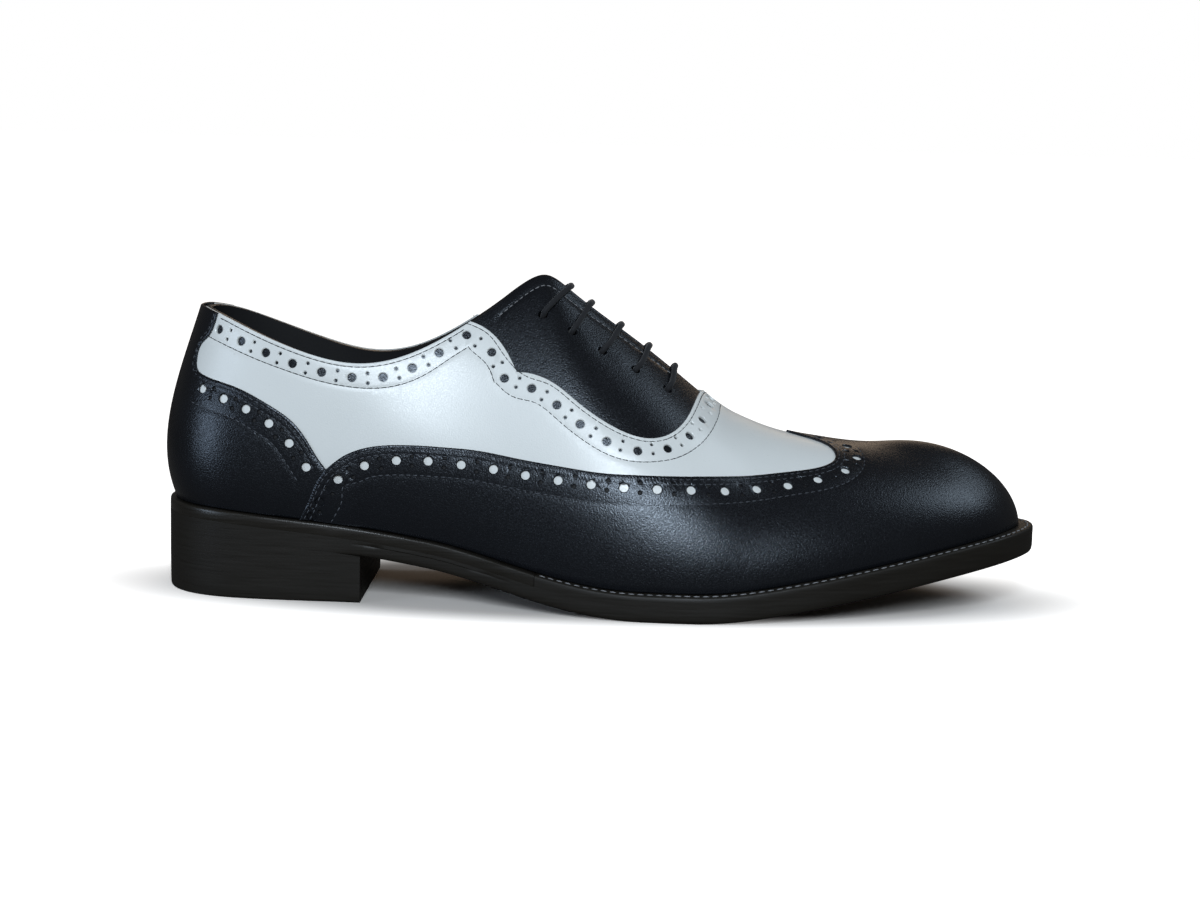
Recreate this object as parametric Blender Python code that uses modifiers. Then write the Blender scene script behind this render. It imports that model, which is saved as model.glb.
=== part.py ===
"""Right shoe of a pair of two-tone wingtip oxfords, built like the real one: lasted upper, welt, sole and heel.

Lengths are in millimetres from the back of the heel (x), the foot's middle line (y, towards the
inner side) and the floor (z). The finished meshes are in metres, with the origin at the middle of
the heel's ground face, +X towards the toe and +Z up.
"""
import math

import bmesh
import bpy
import numpy as np
from mathutils import Vector

NAME = "spectator_shoe"
MM = 0.001
GAP = 0.3  # clearance between touching pieces
PANEL_GAP = 0.6  # the same between panel edges, measured on the flat leather
HEEL_CENTRE_X = 34.0  # the origin: middle of the heel's ground face

SOLE_EDGE = 9.4  # height of the sole's edge, outsole and welt together
WELT_HEIGHT = 4.0
WALL = 2.0  # upper leather with its lining
BASE_DEPTH = -1.3  # the base of the upper lies this far under the finished outside
OVERLAY = 1.0  # white leather over the base, flush with the finished outside
TOP_OVERLAY = 1.6  # wing and counter stand proud of the white leather
HEEL_BREAST_X = 71.5
WELT_START_X = 132.0
THROAT_ROW = 13  # station where the facings meet in front of the tongue
LACE_DIAMETER = 2.8
LACE_SLACK = 0.7  # room for the bend of a bar over the facing's edge

# A row for each station round the shoe, from the back of the heel to the tip of the toe.
# x, lateral and medial give the sole's edge, inset the step from that edge in to the upper.
SOLE_COLUMNS = "x lateral medial inset"
SOLE_ROWS = (
    (0.0, 0.0, 0.0, 2.9),
    (2.6, 13.5, 13.5, 2.8),
    (9.5, 23.4, 23.4, 2.7),
    (20.0, 29.6, 29.6, 2.6),
    (34.0, 32.4, 32.2, 2.6),
    (52.0, 33.5, 32.2, 2.6),
    (72.0, 34.2, 30.6, 2.8),
    (92.0, 36.2, 29.4, 3.2),
    (112.0, 40.6, 30.2, 3.8),
    (132.0, 46.8, 34.4, 4.4),
    (152.0, 52.0, 40.8, 4.6),
    (172.0, 54.7, 46.6, 4.6),
    (192.0, 55.0, 50.6, 4.6),
    (212.0, 52.9, 52.2, 4.6),
    (232.0, 48.6, 50.8, 4.8),
    (250.0, 43.2, 47.4, 5.0),
    (267.0, 36.6, 42.4, 5.2),
    (282.0, 29.0, 36.0, 5.4),
    (294.0, 20.4, 28.2, 5.5),
    (302.4, 10.8, 19.4, 5.6),
    (306.8, 2.6, 12.0, 5.6),
    (308.0, -5.0, 5.0, 5.6),
)

# The wall's upper end at the same stations: collar, facing edge, then the ridge of the vamp.
# half is its distance from the ridge line, lift what the inner side stands higher.
# rise, belly, shoulder and drop bend the wall between sole and upper end.
WALL_COLUMNS = "x z half lift rise belly belly_medial shoulder drop"
WALL_ROWS = (
    (11.3, 99.3, 0.0, 0.0, 0.30, 10.0, 10.0, 8.5, 24.0),
    (12.4, 99.3, 6.8, 0.0, 0.30, 9.0, 9.0, 7.5, 24.0),
    (16.0, 98.4, 12.8, 0.1, 0.30, 7.0, 7.0, 5.5, 23.0),
    (22.5, 96.2, 18.4, 0.4, 0.30, 5.4, 5.4, 3.6, 22.0),
    (33.0, 92.0, 23.6, 0.6, 0.30, 4.6, 4.8, 2.4, 20.0),
    (48.0, 86.5, 27.2, 0.6, 0.30, 4.2, 5.0, 2.0, 18.0),
    (66.0, 82.4, 28.2, 0.0, 0.30, 4.0, 6.0, 2.6, 16.0),
    (83.0, 84.6, 26.2, -0.5, 0.32, 3.8, 7.4, 5.0, 16.0),
    (99.0, 92.0, 21.0, -0.3, 0.34, 3.4, 8.0, 9.0, 15.0),
    (114.0, 102.2, 13.6, 0.0, 0.36, 3.0, 6.6, 11.5, 13.0),
    (130.4, 113.8, 5.4, 0.0, 0.37, 2.6, 5.0, 11.0, 10.0),
    (144.0, 105.9, 4.6, 0.0, 0.38, 2.4, 3.8, 10.5, 8.0),
    (168.0, 89.2, 3.8, 0.0, 0.40, 2.4, 3.0, 11.5, 6.5),
    (189.0, 73.0, 0.0, 0.0, 0.42, 2.4, 2.6, 14.0, 4.6),
    (199.5, 65.7, 0.0, 0.0, 0.44, 2.2, 2.2, 17.0, 3.2),
    (211.0, 61.4, 0.0, 0.0, 0.47, 1.6, 1.6, 19.0, 2.2),
    (222.0, 58.4, 0.0, 0.0, 0.50, 0.8, 0.8, 20.0, 1.2),
    (233.0, 56.2, 0.0, 0.0, 0.52, 0.2, 0.2, 21.0, 0.6),
    (243.0, 55.2, 0.0, 0.0, 0.53, -0.4, -0.4, 21.0, 0.3),
    (251.5, 55.4, 0.0, 0.0, 0.53, -0.8, -0.8, 20.5, 0.1),
    (258.0, 55.8, 0.0, 0.0, 0.53, -1.0, -1.0, 20.0, 0.0),
    (262.0, 55.8, 0.0, 0.0, 0.53, -1.0, -1.0, 20.0, 0.0),
)

# Underside of the sole from the side: heel seat, shank, flat tread at the ball, toe spring.
SOLE_SIDE_X = (0, 20, 40, 60, 80, 100, 115, 130, 145, 156, 164, 192, 204, 216, 228, 240, 252, 264, 276, 288, 298, 308)
SOLE_SIDE_Z = (22.2, 21.2, 19.5, 17.7, 15.2, 12.2, 8.7, 4.9, 1.9, 0.5, 0, 0,
               1.2, 3.0, 5.0, 7.2, 9.5, 11.8, 14.1, 16.1, 17.6, 18.6)
RIDGE_X = (0, 150, 197, 222, 243, 262)
RIDGE_Y = (0, 0, 1.0, 2.4, 3.9, 5.0)

# Panel edges on the upper as (station, share of the wall's height), on the outer side.
COUNTER_EDGE = ((2.55, 1.10), (2.46, 1.0), (2.08, 0.87), (1.57, 0.78), (1.68, 0.727), (2.07, 0.683),
                (2.58, 0.675), (3.74, 0.661), (4.39, 0.623), (4.83, 0.567), (5.10, 0.477), (5.28, 0.381))
WING_REAR = ((4.85, -0.10), (4.90, 0.0), (5.10, 0.152), (5.26, 0.263), (5.41, 0.33))
WING_EDGE = ((5.77, 0.436), (6.23, 0.494), (6.76, 0.502), (7.55, 0.470), (8.32, 0.424), (9.00, 0.373),
             (9.56, 0.334), (10.21, 0.312), (10.92, 0.326), (11.54, 0.353), (12.16, 0.397), (12.71, 0.442),
             (13.38, 0.487), (14.13, 0.527), (15.06, 0.577), (15.78, 0.653), (16.28, 0.773), (16.45, 0.886),
             (16.12, 0.945), (15.3, 1.0), (15.3, 1.10))
FACING_EDGE = ((8.50, 1.10), (8.53, 0.99), (8.98, 0.843), (9.21, 0.723), (9.31, 0.630), (9.55, 0.593),
               (9.88, 0.538), (10.29, 0.487), (10.73, 0.458), (11.16, 0.446), (11.43, 0.456), (11.85, 0.508),
               (12.20, 0.593), (12.59, 0.757), (12.82, 0.890), (13.0, 1.0), (13.0, 1.10))

# Lace bars: eyelet as (station, share of the wall's height), and the station where the bar crosses the ridge.
LACE_BARS = ((9.95, 0.763, 10.8), (10.61, 0.726, 11.2), (11.18, 0.715, 11.65), (11.67, 0.727, 12.0),
             (12.15, 0.731, 12.4))

STATION_STEP = 0.5
HEIGHT_STEPS = 9
STATION_MM = 20.0  # width of one station and height of the wall where panels are cut flat
HEIGHT_MM = 70.0
TONGUE_STATIONS = (10.0, 14.5)
TONGUE_REACH = 0.28
TONGUE_THICKNESS = 1.6
INSOLE_TOP = 2.6  # above the welt
SEAT_INSET = 4.5  # how far welt and rand reach in under the upper

BLACK_LEATHER = ("black_leather", (0.018, 0.02, 0.026), 0.36)
WHITE_LEATHER = ("white_leather", (0.74, 0.76, 0.77), 0.42)
SOLE_BLACK = ("sole_black", (0.022, 0.02, 0.018), 0.5)
LINING_BLACK = ("lining_black", (0.03, 0.03, 0.032), 0.7)
LACE_BLACK = ("lace_black", (0.02, 0.02, 0.022), 0.75)


def smooth_curve(xs, ys):
    """A function through the points that never swings past them."""
    xs = np.asarray(xs, float)
    ys = np.asarray(ys, float)
    step = np.diff(xs)
    rate = np.diff(ys) / step
    slope = np.zeros_like(ys)
    slope[0], slope[-1] = rate[0], rate[-1]
    for i in range(1, len(ys) - 1):
        if rate[i - 1] * rate[i] > 0:
            before = 2 * step[i] + step[i - 1]
            after = step[i] + 2 * step[i - 1]
            slope[i] = (before + after) / (before / rate[i - 1] + after / rate[i])

    def value(x):
        x = np.asarray(x, float)
        i = np.clip(np.searchsorted(xs, x) - 1, 0, len(xs) - 2)
        h = step[i]
        t = (x - xs[i]) / h
        start = (2 * t**3 - 3 * t**2 + 1) * ys[i] + (t**3 - 2 * t**2 + t) * h * slope[i]
        return start + (3 * t**2 - 2 * t**3) * ys[i + 1] + (t**3 - t**2) * h * slope[i + 1]

    return value


def columns(names, rows):
    """The table's columns by name."""
    return dict(zip(names.split(), np.array(rows, float).T))


SOLE = columns(SOLE_COLUMNS, SOLE_ROWS)
WALLS = columns(WALL_COLUMNS, WALL_ROWS)
TOE = len(SOLE_ROWS) - 1  # station of the toe's tip; the inner side runs on from it back to the heel
ROUND = 2 * TOE
sole_under = smooth_curve(SOLE_SIDE_X, SOLE_SIDE_Z)
ridge_y = smooth_curve(RIDGE_X, RIDGE_Y)


def all_round(lateral, medial):
    """A value that follows the stations forward on the outer side and back on the inner side."""
    ring = np.concatenate([lateral, medial[-2:0:-1]])
    wrapped = np.concatenate([ring[-3:], ring, ring[:4]])
    curve = smooth_curve(np.arange(-3, len(ring) + 4), wrapped)
    return lambda station: curve(np.mod(station, ROUND))


edge_x = all_round(SOLE["x"], SOLE["x"])
edge_y = all_round(-SOLE["lateral"], SOLE["medial"])
edge_inset = all_round(SOLE["inset"], SOLE["inset"])
top_x = all_round(WALLS["x"], WALLS["x"])
top_z = all_round(WALLS["z"], WALLS["z"] + WALLS["lift"])
top_half = all_round(-WALLS["half"], WALLS["half"])
wall_rise = all_round(WALLS["rise"], WALLS["rise"])
wall_belly = all_round(WALLS["belly"], WALLS["belly_medial"])
wall_shoulder = all_round(WALLS["shoulder"], WALLS["shoulder"])
wall_drop = all_round(WALLS["drop"], WALLS["drop"])


def unit(v):
    return v / np.linalg.norm(v, axis=-1, keepdims=True)


def plan_normal(station):
    """Outward direction of the sole's edge, seen from above."""
    near = 0.05
    along_x = edge_x(station + near) - edge_x(station - near)
    along_y = edge_y(station + near) - edge_y(station - near)
    return unit(np.stack([along_y, -along_x], -1))


def sole_point(station, inset, height):
    """A point inset from the sole's edge, height above the sole's underside."""
    station = np.asarray(station, float)
    out = plan_normal(station)
    x = edge_x(station) - out[..., 0] * inset
    y = edge_y(station) - out[..., 1] * inset
    return np.stack([x, y, sole_under(x) + height], -1)


def wall(station, height):
    """The upper's outside: height 0 is on the welt, 1 is the collar, the facing's edge or the ridge."""
    foot = sole_point(station, edge_inset(station), SOLE_EDGE + GAP)
    head_x = top_x(station)
    head = np.stack([head_x, ridge_y(head_x) + top_half(station), top_z(station)], -1)
    out = plan_normal(station) * wall_belly(station)[..., None]
    rise = wall_rise(station) * (head[..., 2] - foot[..., 2])
    low = foot + np.concatenate([out, rise[..., None]], -1)
    away = plan_normal(station) * wall_shoulder(station)[..., None]
    high = head + np.concatenate([away, -wall_drop(station)[..., None]], -1)
    t = np.asarray(height, float)[..., None]
    return foot * (1 - t) ** 3 + 3 * low * t * (1 - t) ** 2 + 3 * high * t**2 * (1 - t) + head * t**3


def leather(station, height, depth):
    """A point depth outside the wall, and never below the top of the welt."""
    station = np.asarray(station, float)
    height = np.clip(np.asarray(height, float), 0, 1)
    here = wall(station, height)
    along = wall(station + 0.02, height) - wall(station - 0.02, height)
    up = wall(station, np.minimum(height + 0.01, 1)) - wall(station, np.maximum(height - 0.01, 0))
    on_ridge = (height > 0.9999) & (np.abs(np.mod(station, ROUND) - TOE) <= TOE - THROAT_ROW)
    heelward = np.where(np.mod(station, ROUND) <= TOE, -0.3, 0.3)
    forward = here - wall(station + heelward, height)
    upright = np.stack([-forward[..., 2], np.zeros_like(forward[..., 0]), forward[..., 0]], -1)
    normal = unit(np.where(on_ridge[..., None], upright, np.cross(along, up)))
    point = here + normal * np.asarray(depth, float)[..., None]
    floor = sole_under(point[..., 0]) + SOLE_EDGE + GAP
    point[..., 2] = np.maximum(point[..., 2], floor)
    return point


def to_metres(point):
    """From the shoe's millimetres to the finished frame."""
    return Vector(((point[0] - HEEL_CENTRE_X) * MM, point[1] * MM, point[2] * MM))


def material(look):
    name, color, roughness = look
    found = bpy.data.materials.get(name)
    if found:
        return found
    made = bpy.data.materials.new(name)
    made.use_nodes = True
    shader = made.node_tree.nodes["Principled BSDF"]
    shader.inputs["Base Color"].default_value = (*color, 1.0)
    shader.inputs["Roughness"].default_value = roughness
    shader.inputs["Metallic"].default_value = 0.0
    return made


def add_object(name, data, look, parts):
    piece = bpy.data.objects.new(name, data)
    data.materials.append(material(look))
    parts.objects.link(piece)
    return piece


def finish_mesh(name, bm, look, parts, recalculate=True):
    if recalculate:
        bmesh.ops.recalc_face_normals(bm, faces=bm.faces[:])
    mesh = bpy.data.meshes.new(name)
    bm.to_mesh(mesh)
    bm.free()
    mesh.shade_smooth()
    mesh.set_sharp_from_angle(angle=math.radians(40))
    return add_object(name, mesh, look, parts)


def cap(bm, ring):
    """Closes a ring with strips from the outer to the inner side; ring[0] is at the heel's back."""
    count = len(ring)
    middle = count // 2
    bm.faces.new((ring[0], ring[1], ring[-1]))
    for i in range(1, middle - 1):
        bm.faces.new((ring[i], ring[i + 1], ring[count - i - 1], ring[count - i]))
    bm.faces.new((ring[middle - 1], ring[middle], ring[middle + 1]))


def add_plate(name, rings, look, parts):
    """A solid through rings of points, from the lowest to the highest."""
    bm = bmesh.new()
    loops = [[bm.verts.new(to_metres(p)) for p in ring] for ring in rings]
    count = len(loops[0])
    for low, high in zip(loops, loops[1:]):
        for i in range(count):
            j = (i + 1) % count
            bm.faces.new((low[i], low[j], high[j], high[i]))
    cap(bm, loops[0])
    cap(bm, loops[-1])
    return finish_mesh(name, bm, look, parts)


def add_band(name, stations, profile, look, parts):
    """A strip of the sole's edge: profile holds (inset, inset past the upper's foot or not, height)."""
    bm = bmesh.new()
    sections = []
    for inset, behind_upper, height in profile:
        reach = inset + (edge_inset(stations) if behind_upper else 0)
        sections.append([bm.verts.new(to_metres(p)) for p in sole_point(stations, reach, height)])
    count = len(profile)
    for k in range(len(stations) - 1):
        for i in range(count):
            j = (i + 1) % count
            bm.faces.new((sections[i][k], sections[j][k], sections[j][k + 1], sections[i][k + 1]))
    bm.faces.new([section[0] for section in sections])
    bm.faces.new([section[-1] for section in reversed(sections)])
    return finish_mesh(name, bm, look, parts)


def round_stations(start, end, step=STATION_STEP):
    return np.linspace(start, end, int(round((end - start) / step)) + 1)


def add_outsole(parts):
    stations = round_stations(0, ROUND)[:-1]
    top = SOLE_EDGE - WELT_HEIGHT - GAP
    rings = [sole_point(stations, inset, height) for inset, height in ((0.9, 0.0), (0.0, 0.9), (0.0, top))]
    add_plate("outsole", rings, SOLE_BLACK, parts)


def add_heel(parts):
    """A stacked block under the heel seat, its front face hollowed a little."""
    breast = float(np.interp(HEEL_BREAST_X, SOLE["x"], np.arange(TOE + 1.0)))
    half = round_stations(0, breast, 0.4)
    stations = np.concatenate([half, -half[:0:-1]])
    rings = []
    for inset in (0.8, 0.1, 0.1):
        ring = sole_point(stations, inset, -GAP)
        ring = np.insert(ring, len(half), ring[len(half) - 1 : len(half) + 1].mean(0) - [1.5, 0, 0], axis=0)
        ring[len(half), 2] = sole_under(ring[len(half), 0]) - GAP
        rings.append(ring)
    rings[0][:, 2] = 0.0
    rings[1][:, 2] = 0.8
    add_plate("heel", rings, SOLE_BLACK, parts)


def add_welt(parts):
    """The stitched strip round the forepart, wider than the rand by a small step."""
    start = float(np.interp(WELT_START_X, SOLE["x"], np.arange(TOE + 1.0)))
    low = SOLE_EDGE - WELT_HEIGHT
    profile = ((0.0, 0, low), (0.0, 0, SOLE_EDGE - 0.7), (0.7, 0, SOLE_EDGE),
               (SEAT_INSET, 1, SOLE_EDGE), (SEAT_INSET, 1, low))
    add_band("welt", round_stations(start, ROUND - start), profile, SOLE_BLACK, parts)
    rand = ((0.9, 0, low), (0.9, 0, SOLE_EDGE - 0.6), (1.5, 0, SOLE_EDGE),
            (SEAT_INSET, 1, SOLE_EDGE), (SEAT_INSET, 1, low))
    end = start - 0.02
    add_band("heel_rand", round_stations(-end, end), rand, SOLE_BLACK, parts)


def add_insole(parts):
    stations = round_stations(0, ROUND)[:-1]
    reach = edge_inset(stations) + SEAT_INSET + GAP
    rings = [sole_point(stations, reach, height) for height in (SOLE_EDGE - WELT_HEIGHT, SOLE_EDGE + INSOLE_TOP)]
    add_plate("insole", rings, LINING_BLACK, parts)


def flat_grid(start, end):
    """The wall laid flat: a triangulated grid, one station wide STATION_MM and the wall high HEIGHT_MM."""
    count = int(round((end - start) / STATION_STEP))
    bm = bmesh.new()
    bmesh.ops.create_grid(bm, x_segments=count, y_segments=HEIGHT_STEPS, size=1)
    for vert in bm.verts:
        share = (vert.co.x + 1) / 2
        vert.co.x = (start + (end - start) * share) * STATION_MM
        vert.co.y = (vert.co.y + 1) / 2 * HEIGHT_MM
    bmesh.ops.triangulate(bm, faces=bm.faces[:])
    return bm


def last_over(bm, depth_shift):
    """Bends the flat leather round the last; its flat z is the depth outside the wall."""
    flat = np.array([v.co for v in bm.verts], float)
    bent = leather(flat[:, 0] / STATION_MM, flat[:, 1] / HEIGHT_MM, flat[:, 2] + depth_shift)
    for vert, point in zip(bm.verts, bent):
        vert.co = to_metres(point)


def add_upper(parts):
    """The base of the upper with its facings: one hollow wall, open below, at the collar and at the throat."""
    bm = flat_grid(0, ROUND)
    last_over(bm, BASE_DEPTH)
    bmesh.ops.remove_doubles(bm, verts=bm.verts[:], dist=0.00001)
    upper = finish_mesh("upper", bm, BLACK_LEATHER, parts, recalculate=False)
    shell = upper.modifiers.new("wall", "SOLIDIFY")
    shell.thickness = WALL * MM
    shell.offset = -1.0


def prism(name, outline, cutters):
    """A cutter: the panel's outline on the flat leather, cut right through it."""
    bm = bmesh.new()
    verts = [bm.verts.new((s * STATION_MM, h * HEIGHT_MM, -5.0)) for s, h in outline]
    face = bm.faces.new(verts)
    pulled = bmesh.ops.extrude_face_region(bm, geom=[face])
    lifted = [v for v in pulled["geom"] if isinstance(v, bmesh.types.BMVert)]
    bmesh.ops.translate(bm, verts=lifted, vec=(0, 0, 10.0))
    bmesh.ops.recalc_face_normals(bm, faces=bm.faces[:])
    mesh = bpy.data.meshes.new(name)
    bm.to_mesh(mesh)
    bm.free()
    cutter = bpy.data.objects.new(name, mesh)
    cutter.hide_render = True
    cutter.display_type = "WIRE"
    cutters.objects.link(cutter)
    return cutter


def mirrored(outline):
    return [(ROUND - s, h) for s, h in outline]


def shrunk(outline, distance):
    """The outline moved inwards by distance, in flat millimetres."""
    flat = np.array(outline) * (STATION_MM, HEIGHT_MM)
    ahead = unit(np.roll(flat, -1, 0) - flat)
    normals = np.stack([-ahead[:, 1], ahead[:, 0]], -1)
    area = np.sum(flat[:, 0] * np.roll(flat[:, 1], -1) - np.roll(flat[:, 0], -1) * flat[:, 1])
    corner = unit(normals + np.roll(normals, 1, 0)) * np.sign(area)
    return (flat + corner * distance) / (STATION_MM, HEIGHT_MM)


def add_overlay(name, pieces, depth, look, parts, cutters):
    """Leather on top of the upper: each piece is (first station, last station, outline), cut flat, then lasted."""
    joined = bmesh.new()
    for number, (start, end, outline) in enumerate(pieces):
        sheet = flat_grid(start, end)
        bottom = sheet.faces[:]
        pulled = bmesh.ops.extrude_face_region(sheet, geom=bottom, use_keep_orig=True)
        lifted = [v for v in pulled["geom"] if isinstance(v, bmesh.types.BMVert)]
        bmesh.ops.translate(sheet, verts=lifted, vec=(0, 0, depth))
        bmesh.ops.recalc_face_normals(sheet, faces=sheet.faces[:])
        mesh = bpy.data.meshes.new(name)
        sheet.to_mesh(mesh)
        sheet.free()
        blank = bpy.data.objects.new(name, mesh)
        cutters.objects.link(blank)
        cut = blank.modifiers.new("cut", "BOOLEAN")
        cut.operation = "INTERSECT"
        cut.object = prism(f"{name}_pattern_{number}", outline, cutters)
        bpy.context.view_layer.update()
        shape = blank.evaluated_get(bpy.context.evaluated_depsgraph_get()).to_mesh()
        joined.from_mesh(shape)
        bpy.data.objects.remove(blank)
    bmesh.ops.triangulate(joined, faces=[f for f in joined.faces if len(f.verts) > 4])
    full = HEIGHT_MM - 0.001
    reach = (TOE - THROAT_ROW) * STATION_MM + 0.001
    on_ridge = [f for f in joined.faces
                if all(v.co.y > full and abs(v.co.x - TOE * STATION_MM) < reach for v in f.verts)]
    bmesh.ops.delete(joined, geom=on_ridge, context="FACES")
    last_over(joined, BASE_DEPTH + GAP)
    bmesh.ops.remove_doubles(joined, verts=joined.verts[:], dist=0.00002)
    finish_mesh(name, joined, look, parts)


def add_overlays(parts, cutters):
    wing = list(WING_REAR + WING_EDGE)
    rear = float(int(wing[0][0]))
    around = wing + mirrored(wing)[::-1]
    add_overlay("wing_cap", [(rear, ROUND - rear, around)], TOP_OVERLAY, BLACK_LEATHER, parts, cutters)

    behind_wing = [(s - 0.02, h) for s, h in reversed(WING_REAR[:-1])]
    half_counter = list(COUNTER_EDGE) + behind_wing
    counter = half_counter + [(-s, h) for s, h in reversed(half_counter)]
    add_overlay("counter", [(-6.0, 6.0, counter)], TOP_OVERLAY, BLACK_LEATHER, parts, cutters)

    white = list(WING_REAR[-1:] + WING_EDGE) + list(reversed(FACING_EDGE)) + list(COUNTER_EDGE)
    white = shrunk(white, PANEL_GAP)
    pieces = [(1.0, 17.0, white), (ROUND - 17.0, ROUND - 1.0, mirrored(white))]
    add_overlay("quarters_and_vamp", pieces, OVERLAY, WHITE_LEATHER, parts, cutters)


def add_tongue(parts):
    """A soft strip under the facings that bridges the throat."""
    stations = round_stations(*TONGUE_STATIONS)
    shares = np.linspace(-1, 1, 9)
    under = BASE_DEPTH - WALL - 0.5
    bm = bmesh.new()
    bmesh.ops.create_grid(bm, x_segments=len(stations) - 1, y_segments=len(shares) - 1, size=1)
    for vert in bm.verts:
        station = np.interp(vert.co.x, (-1, 1), TONGUE_STATIONS)
        share = vert.co.y
        if abs(share) < 0.01:
            lateral = leather(station, 1.0, under)
            point = (lateral + leather(ROUND - station, 1.0, under)) / 2
        else:
            point = leather(station if share < 0 else ROUND - station, 1 - TONGUE_REACH * abs(share), under)
        vert.co = to_metres(point)
    tongue = finish_mesh("tongue", bm, BLACK_LEATHER, parts, recalculate=False)
    shell = tongue.modifiers.new("thickness", "SOLIDIFY")
    shell.thickness = TONGUE_THICKNESS * MM
    shell.offset = -1.0


def add_lace_bars(parts):
    """Straight laced bars, each from eyelet to eyelet over the ridge."""
    clear = BASE_DEPTH + LACE_DIAMETER / 2 + GAP + LACE_SLACK
    for number, (station, height, crest) in enumerate(LACE_BARS, 1):
        side = []
        for share in np.linspace(0, 0.9, 5):
            at = (station + (crest - station) * share, height + (1 - height) * share)
            side.append(at)
        lateral = [leather(s, h, clear) for s, h in side]
        medial = [leather(ROUND - s, h, clear) for s, h in side]
        ridge = (leather(crest, 1.0, clear) + leather(ROUND - crest, 1.0, clear)) / 2
        route = lateral + [ridge] + medial[::-1]
        curve = bpy.data.curves.new(f"lace_bar_{number}", "CURVE")
        curve.dimensions = "3D"
        curve.bevel_depth = LACE_DIAMETER / 2 * MM
        curve.bevel_resolution = 2
        curve.use_fill_caps = True
        spline = curve.splines.new("POLY")
        spline.points.add(len(route) - 1)
        for knot, point in zip(spline.points, route):
            knot.co = (*to_metres(point), 1.0)
        add_object(f"lace_bar_{number}", curve, LACE_BLACK, parts)


def main():
    for old in list(bpy.data.objects):
        bpy.data.objects.remove(old)
    parts = bpy.data.collections.new(NAME)
    cutters = bpy.data.collections.new("cutters")
    bpy.context.scene.collection.children.link(parts)
    bpy.context.scene.collection.children.link(cutters)
    add_outsole(parts)
    add_heel(parts)
    add_welt(parts)
    add_insole(parts)
    add_upper(parts)
    add_overlays(parts, cutters)
    add_tongue(parts)
    add_lace_bars(parts)


main()
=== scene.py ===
import math

import bmesh
import bpy
import numpy as np
from mathutils import Matrix, Vector
from mathutils.geometry import delaunay_2d_cdt
from mathutils.kdtree import KDTree


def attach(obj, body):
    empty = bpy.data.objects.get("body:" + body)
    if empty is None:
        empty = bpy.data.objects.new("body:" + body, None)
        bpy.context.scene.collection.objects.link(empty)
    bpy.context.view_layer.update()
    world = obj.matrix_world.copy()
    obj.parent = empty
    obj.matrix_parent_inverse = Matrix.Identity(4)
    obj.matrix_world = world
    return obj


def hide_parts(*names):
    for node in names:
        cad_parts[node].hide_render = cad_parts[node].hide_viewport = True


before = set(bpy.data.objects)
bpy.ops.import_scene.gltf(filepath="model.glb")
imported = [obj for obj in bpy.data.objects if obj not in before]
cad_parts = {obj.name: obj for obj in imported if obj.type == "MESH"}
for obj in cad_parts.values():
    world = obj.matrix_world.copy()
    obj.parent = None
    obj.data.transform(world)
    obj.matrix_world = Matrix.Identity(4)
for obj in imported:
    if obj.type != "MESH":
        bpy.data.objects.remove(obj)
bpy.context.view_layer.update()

# Lengths are in millimetres from the back of the heel (x), the foot's middle line (y, towards the
# inner side) and the floor (z). toFrame turns them into the frame's metres.
mm = 0.001
heelCentreX = 34.0
soleEdge = 9.4  # height of the sole's edge, outsole and welt together
clearance = 0.3  # between the sole's edge and the foot of the upper
throatRow = 13  # station where the facings meet
stationMm = 20.0  # flat width of one station and flat height of the wall, for cutting panels
heightMm = 70.0
hair = 0.001  # a difference that doesn't count, in mm
weld = 0.000004  # corners closer than this are one corner, in metres

# One row a station, from the back of the heel to the tip of the toe.
soleColumns = "x lateral medial inset"
soleRows = (
    (0.0, 0.0, 0.0, 2.9), (2.6, 13.5, 13.5, 2.8), (9.5, 23.4, 23.4, 2.7), (20.0, 29.6, 29.6, 2.6),
    (34.0, 32.4, 32.2, 2.6), (52.0, 33.5, 32.2, 2.6), (72.0, 34.2, 30.6, 2.8), (92.0, 36.2, 29.4, 3.2),
    (112.0, 40.6, 30.2, 3.8), (132.0, 46.8, 34.4, 4.4), (152.0, 52.0, 40.8, 4.6), (172.0, 54.7, 46.6, 4.6),
    (192.0, 55.0, 50.6, 4.6), (212.0, 52.9, 52.2, 4.6), (232.0, 48.6, 50.8, 4.8), (250.0, 43.2, 47.4, 5.0),
    (267.0, 36.6, 42.4, 5.2), (282.0, 29.0, 36.0, 5.4), (294.0, 20.4, 28.2, 5.5), (302.4, 10.8, 19.4, 5.6),
    (306.8, 2.6, 12.0, 5.6), (308.0, -5.0, 5.0, 5.6),
)
wallColumns = "x z half lift rise belly bellyMedial shoulder drop"
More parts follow.
